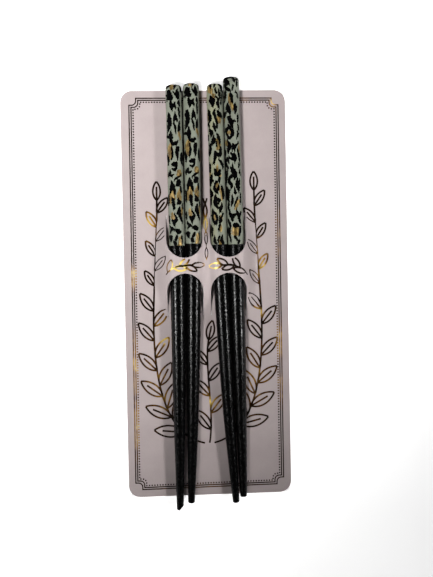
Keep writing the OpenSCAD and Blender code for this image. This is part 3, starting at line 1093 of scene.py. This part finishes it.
def film_point(stick, u, v):
    """A point of the film's outside."""
    y = wall_top(stick)
    angle = u / FILM_OUT_R
    if v >= 0:
        return on_stick(stick, y - v, angle, FILM_OUT_R)
    if v > FILM_EDGE:
        turn = -v / FILM_ARC
        return on_stick(stick, y + FILM_ARC * math.sin(turn), angle, EDGE_R + FILM_ARC * math.cos(turn))
    return on_stick(stick, y + FILM_ARC, angle, EDGE_R + v - FILM_EDGE)


def film(number, stick, row, materials):
    """The printed film: a thin cap whose faces are sage, black or gold."""
    bottom = wall_top(stick) - stick.film_y
    marks = film_marks(number, bottom, row)
    flat, triangles = film_sheet(marks, bottom)
    bm = bmesh.new()
    verts = [bm.verts.new(film_point(stick, p.x, p.y)) for p in flat]
    for (_, _, corners), kind in zip(triangles, film_kinds(triangles, marks)):
        bm.faces.new([verts[k] for k in corners]).material_index = kind
    drop_loose(bm)
    bmesh.ops.remove_doubles(bm, verts=bm.verts, dist=SEAM)
    close_film(bm, stick)
    make_piece(f"film_print_{number}", bm, materials, "film", f"film_{number}")


def close_film(bm, stick):
    """Closes a film's top and gives it an inner wall, so that it is a thin solid cap."""
    wall_y = wall_top(stick)
    half_y = (wall_y + stick.film_y) / 2 + CARD_Y
    rim = [e for e in bm.edges if e.is_boundary]
    top_rim = [e for e in rim if e.verts[0].co.y / MM > half_y]
    low_rim = [e for e in rim if e.verts[0].co.y / MM < half_y]
    fan(bm, [e.verts for e in top_rim], on_stick(stick, wall_y + FILM_ARC, 0, 0))
    rows = [(FILM_IN_R, lerp(stick.film_y, wall_y, i / INNER_STEPS)) for i in range(INNER_STEPS + 1)]
    rows += arc((EDGE_R, wall_y), FILM_IN_R - EDGE_R, 0, 1, INNER_ARC_STEPS)[1:]
    edges = low_rim
    y_before = stick.film_y
    for r, y in rows:
        made = bmesh.ops.extrude_edge_only(bm, edges=edges)["geom"]
        for v in (g for g in made if isinstance(g, bmesh.types.BMVert)):
            x = v.co.x / MM - axis_x(stick, y_before)
            v.co = on_stick(stick, y, math.atan2(x, v.co.z / MM - AXIS_Z), r)
        y_before = y
        edges = [g for g in made if isinstance(g, bmesh.types.BMEdge) and g.is_boundary]
    for e in low_rim:
        e.smooth = False
    fan(bm, [e.verts for e in edges], on_stick(stick, y_before, 0, 0))


# Materials

class Nodes:
    """A material's or the world's nodes, added one by one."""

    def __init__(self, block, shader, place):
        block.use_nodes = True
        self.block = block
        self.tree = block.node_tree
        self.shader = self.tree.nodes[shader]
        self.place = self.add("ShaderNodeTexCoord").outputs[place]

    def add(self, kind, inputs=None, **values):
        """A node of a kind. Its inputs are set to plain values or linked to outputs of other nodes."""
        node = self.tree.nodes.new(kind)
        for key, value in values.items():
            setattr(node, key, value)
        for key, value in (inputs or {}).items():
            self.put(value, node.inputs[key])
        return node

    def put(self, value, socket):
        if isinstance(value, bpy.types.NodeSocket):
            self.tree.links.new(value, socket)
        else:
            socket.default_value = value

    def into(self, name, value):
        """Sets or links one of the shader's inputs."""
        self.put(value, self.shader.inputs[name])

    def noise(self, size, stretch=(1, 1, 1), detail=3, roughness=0.5):
        """Noise with features of about size millimetres, longer where stretch is more than 1."""
        scale = [1 / (size * MM * s) for s in stretch]
        place = self.add("ShaderNodeMapping", {"Vector": self.place, "Scale": scale}).outputs["Vector"]
        return self.add("ShaderNodeTexNoise", {"Vector": place, "Scale": 1, "Detail": detail,
                                               "Roughness": roughness}).outputs["Fac"]

    def spread(self, value, low, high, to_low, to_high):
        """Maps low..high to to_low..to_high, and no further."""
        return self.add("ShaderNodeMapRange", {"Value": value, "From Min": low, "From Max": high,
                                               "To Min": to_low, "To Max": to_high}).outputs["Result"]

    def colours(self, value, *stops):
        """A colour for each value: stops are (place, colour) pairs."""
        node = self.add("ShaderNodeValToRGB", {"Fac": value})
        ramp = node.color_ramp
        while len(ramp.elements) < len(stops):
            ramp.elements.new(0.5)
        for element, (where, colour) in zip(ramp.elements, stops):
            element.position = where
            element.color = (*colour, 1)
        return node.outputs["Color"]

    def maths(self, operation, a, b=0):
        return self.add("ShaderNodeMath", {0: a, 1: b}, operation=operation).outputs["Value"]

    def mixed(self, share, a, b):
        """A share of a, and the rest b."""
        return self.maths("ADD", self.maths("MULTIPLY", a, share), self.maths("MULTIPLY", b, 1 - share))

    def along(self, axis):
        """The place's distance along an axis."""
        return self.add("ShaderNodeSeparateXYZ", {"Vector": self.place}).outputs[axis]

    def bump(self, value, depth, strength):
        """Bumps of about depth millimetres."""
        node = self.add("ShaderNodeBump", {"Strength": strength, "Distance": depth * MM,
                                           "Height": value})
        self.into("Normal", node.outputs["Normal"])


def new_material(name):
    return Nodes(bpy.data.materials.new(name), "Principled BSDF", "Object")


def card_face_material():
    """Coated card, pale mauve, with a faint mottle and fine fibres."""
    m = new_material("card_face")
    mottle = m.noise(9, detail=4)
    fibre = m.noise(0.35, stretch=(1, 2.5, 1), detail=4, roughness=0.6)
    m.into("Base Color", m.colours(m.mixed(0.65, mottle, fibre), (0.30, (0.395, 0.339, 0.339)),
                                   (0.70, (0.445, 0.384, 0.384))))
    m.into("Roughness", m.spread(fibre, 0.3, 0.7, 0.50, 0.62))
    m.into("Specular IOR Level", 0.35)
    m.bump(fibre, 0.012, 0.5)
    return m.block


def card_edge_material():
    """The card's cut edge: paler, with its layers showing."""
    m = new_material("card_edge")
    layers = m.noise(0.12, stretch=(12, 12, 1), detail=2)
    m.into("Base Color", m.colours(layers, (0.35, (0.36, 0.32, 0.31)), (0.65, (0.56, 0.51, 0.49))))
    m.into("Roughness", 0.85)
    m.bump(layers, 0.02, 0.6)
    return m.block


def foil_material():
    """Printed foil whose colour carries painted reflection: dark brown where it would mirror the dark, and a
    painted gold glint where it would catch the light.
    """
    m = new_material("card_foil")
    glint = m.add("ShaderNodeAttribute", attribute_name="glint").outputs["Fac"]
    # The painted glint, broken up by noise, picks the foil's colour from dark brown to gold
    amount = m.maths("ADD", glint, m.spread(m.noise(3), 0.35, 0.65, -0.12, 0.14))
    m.into("Base Color", m.colours(amount, (0.10, (0.014, 0.006, 0.002)), (0.36, (0.085, 0.036, 0.007)),
                                   (0.62, (0.32, 0.175, 0.032)), (0.90, (0.95, 0.72, 0.20))))
    m.into("Metallic", 0.3)
    m.into("Specular IOR Level", 0.2)
    fine = m.noise(0.5, detail=2)
    m.into("Roughness", m.spread(fine, 0.3, 0.7, 0.28, 0.45))
    m.bump(fine, 0.01, 0.4)
    return m.block


def lacquer_material():
    """Black lacquer over fine sanded grain."""
    m = new_material("black_lacquer")
    grit = m.noise(0.5, stretch=(1, 1.3, 1), detail=2, roughness=0.6)
    specks = m.spread(grit, 0.44, 0.60, 0, 1)
    glitter = m.noise(0.5, stretch=(1, 2.2, 1), detail=2)
    grain = m.noise(1, stretch=(0.5, 12, 0.5))
    m.into("Base Color", m.colours(grain, (0.3, (0.0003, 0.0003, 0.0003)), (0.7, (0.0010, 0.0010, 0.0011))))
    m.into("Roughness", m.spread(glitter, 0.43, 0.57, 0.3, 0.07))
    m.into("Specular IOR Level", 0.15)
    m.bump(m.maths("ADD", specks, m.maths("MULTIPLY", grain, 0.06)), 0.022, 0.8)
    return m.block


def sage_material():
    """Sage green printed film, mottled along the stick. The third stick's left side is yellower."""
    m = new_material("film_sage")
    mottle = m.noise(1.6, stretch=(1, 2.2, 1), detail=4)
    fine = m.noise(0.3, stretch=(1, 3, 1), detail=2)
    colour = m.colours(m.mixed(0.7, mottle, fine), (0.32, (0.163, 0.179, 0.141)),
                       (0.68, (0.215, 0.235, 0.190)))
    x = m.along("X")
    side = m.maths("MULTIPLY", m.spread(x, 0, 0.5 * MM, 0, 1), m.spread(x, 4 * MM, 8 * MM, 1, 0))
    patches = m.spread(m.noise(4, stretch=(1, 3, 1), detail=2), 0.38, 0.56, 0, 1)
    warm = m.add("ShaderNodeMixRGB", {"Fac": m.maths("MULTIPLY", side, patches), "Color1": colour,
                                      "Color2": (0.252, 0.257, 0.169, 1)})
    m.into("Base Color", warm.outputs["Color"])
    m.into("Roughness", m.spread(mottle, 0.3, 0.7, 0.40, 0.52))
    m.into("Specular IOR Level", 0.18)
    m.bump(fine, 0.01, 0.5)
    return m.block


def spot_material():
    """The print's black ink, also used for the painted shade in the gap between a pair's sticks."""
    m = new_material("film_black")
    fine = m.noise(0.35, stretch=(1, 2.5, 1))
    m.into("Base Color", m.colours(fine, (0.35, (0.0004, 0.0004, 0.0005)), (0.70, (0.0016, 0.0016, 0.0019))))
    m.into("Roughness", m.spread(fine, 0.3, 0.7, 0.42, 0.55))
    m.into("Specular IOR Level", 0.015)
    m.bump(fine, 0.01, 0.5)
    return m.block


def gold_material():
    """The print's gold foil, uneven along the stick."""
    m = new_material("film_gold")
    streak = m.noise(0.9, stretch=(0.5, 2.6, 0.5), detail=4)
    fine = m.noise(0.25, detail=2)
    m.into("Base Color", m.colours(m.mixed(0.75, streak, fine), (0.36, (0.052, 0.031, 0.008)),
                                   (0.50, (0.165, 0.105, 0.028)), (0.66, (0.50, 0.355, 0.115))))
    m.into("Metallic", 0.45)
    m.into("Roughness", m.spread(streak, 0.3, 0.7, 0.28, 0.42))
    m.bump(fine, 0.015, 0.6)
    return m.block


def floor_material():
    """A plain white floor, which glows from near the card's edge outwards."""
    m = new_material("floor")
    colour = m.colours(m.noise(60, detail=2), (0.3, (0.90, 0.90, 0.90)), (0.7, (0.93, 0.93, 0.93)))
    past_x, past_y = [m.maths("SUBTRACT", m.maths("ABSOLUTE", m.along(axis)), size / 2 * MM)
                      for axis, size in (("X", CARD_W), ("Y", CARD_H))]
    m.into("Base Color", colour)
    m.into("Roughness", 0.9)
    m.into("Emission Color", colour)
    m.into("Emission Strength", m.spread(m.maths("MAXIMUM", past_x, past_y), -2 * MM, 0, 0, 0.80))
    return m.block


# Stage, light and camera

FLOOR_HALF = 3
FLOOR_Z = -0.0001
SENSOR = 24
CLIP_START = 0.01


def make_floor():
    bm = bmesh.new()
    corners = [(-1, -1), (1, -1), (1, 1), (-1, 1)]
    bm.faces.new([bm.verts.new((x * FLOOR_HALF, y * FLOOR_HALF, FLOOR_Z)) for x, y in corners])
    floor = make_object("floor", bm, [floor_material()], smooth=False)


def make_light(name, at, aim, size, power, spread=180, colour=(1, 1, 1), diffuse=True, glossy=True):
    """A rectangular light at a place in metres, aimed at another, with its long side along Y."""
    data = bpy.data.lights.new(name, "AREA")
    data.shape = "RECTANGLE"
    data.size, data.size_y = size
    data.energy = power
    data.spread = math.radians(spread)
    data.color = colour
    light = bpy.data.objects.new(name, data)
    bpy.context.scene.collection.objects.link(light)
    away = Vector(at) - Vector(aim)
    across = Vector((0, 1, 0)).cross(away).normalized()
    along = away.normalized().cross(across)
    light.location = at
    light.rotation_euler = Matrix((across, along, away.normalized())).transposed().to_euler()
    light.visible_camera = False
    light.visible_diffuse = diffuse
    light.visible_glossy = glossy


def make_lights():
    """Two lights for the diffuse shading and two strips for the lacquer's highlights."""
    make_light("key", (-0.14, -0.10, 0.38), (-0.099, 0.316, 0), (0.07, 0.09), 1.24, 100,
               (1.0, 0.985, 0.97), glossy=False)
    make_light("fill", (0.40, -0.15, 0.40), (-0.514, 0.085, 0), (0.07, 0.20), 0.57, 60,
               (1.0, 0.985, 0.975), glossy=False)
    make_light("left_strip", (-0.40, -0.045, 0.42), (0, 0, 0), (0.10, 0.09), 2.2, diffuse=False)
    make_light("right_strip", (0.46, -0.045, 0.38), (0, 0, 0), (0.03, 0.09), 1.7, diffuse=False)


def make_world():
    """Even, dim light from all round, dimmer from straight above."""
    w = Nodes(bpy.data.worlds.new("room"), "Background", "Generated")
    w.into("Color", w.colours(w.along("Z"), (0, (0.20, 0.20, 0.205)), (0.9, (0.045, 0.044, 0.043))))
    w.into("Strength", 1)
    bpy.context.scene.world = w.block


def make_camera():
    data = bpy.data.cameras.new("camera")
    data.sensor_fit = "VERTICAL"
    data.sensor_height = SENSOR
    data.sensor_width = SENSOR
    data.lens = SENSOR * FOCAL_PX / PHOTO_H
    data.clip_start = CLIP_START
    camera = bpy.data.objects.new("camera", data)
    bpy.context.scene.collection.objects.link(camera)
    camera.location = to_frame(*CAMERA_AT)
    camera.rotation_euler = CAMERA_TURN
    bpy.context.scene.camera = camera


make_camera()
make_world()
make_lights()
make_floor()
card_sheet()
card_print()
lacquer = lacquer_material()
film_materials = [sage_material(), spot_material(), gold_material()]
for number, (stick, row) in enumerate(zip(STICKS, FILMS), 1):
    shaft(number, stick, lacquer)
    film(number, stick, row, film_materials)
bpy.context.scene.view_settings.view_transform = "Standard"
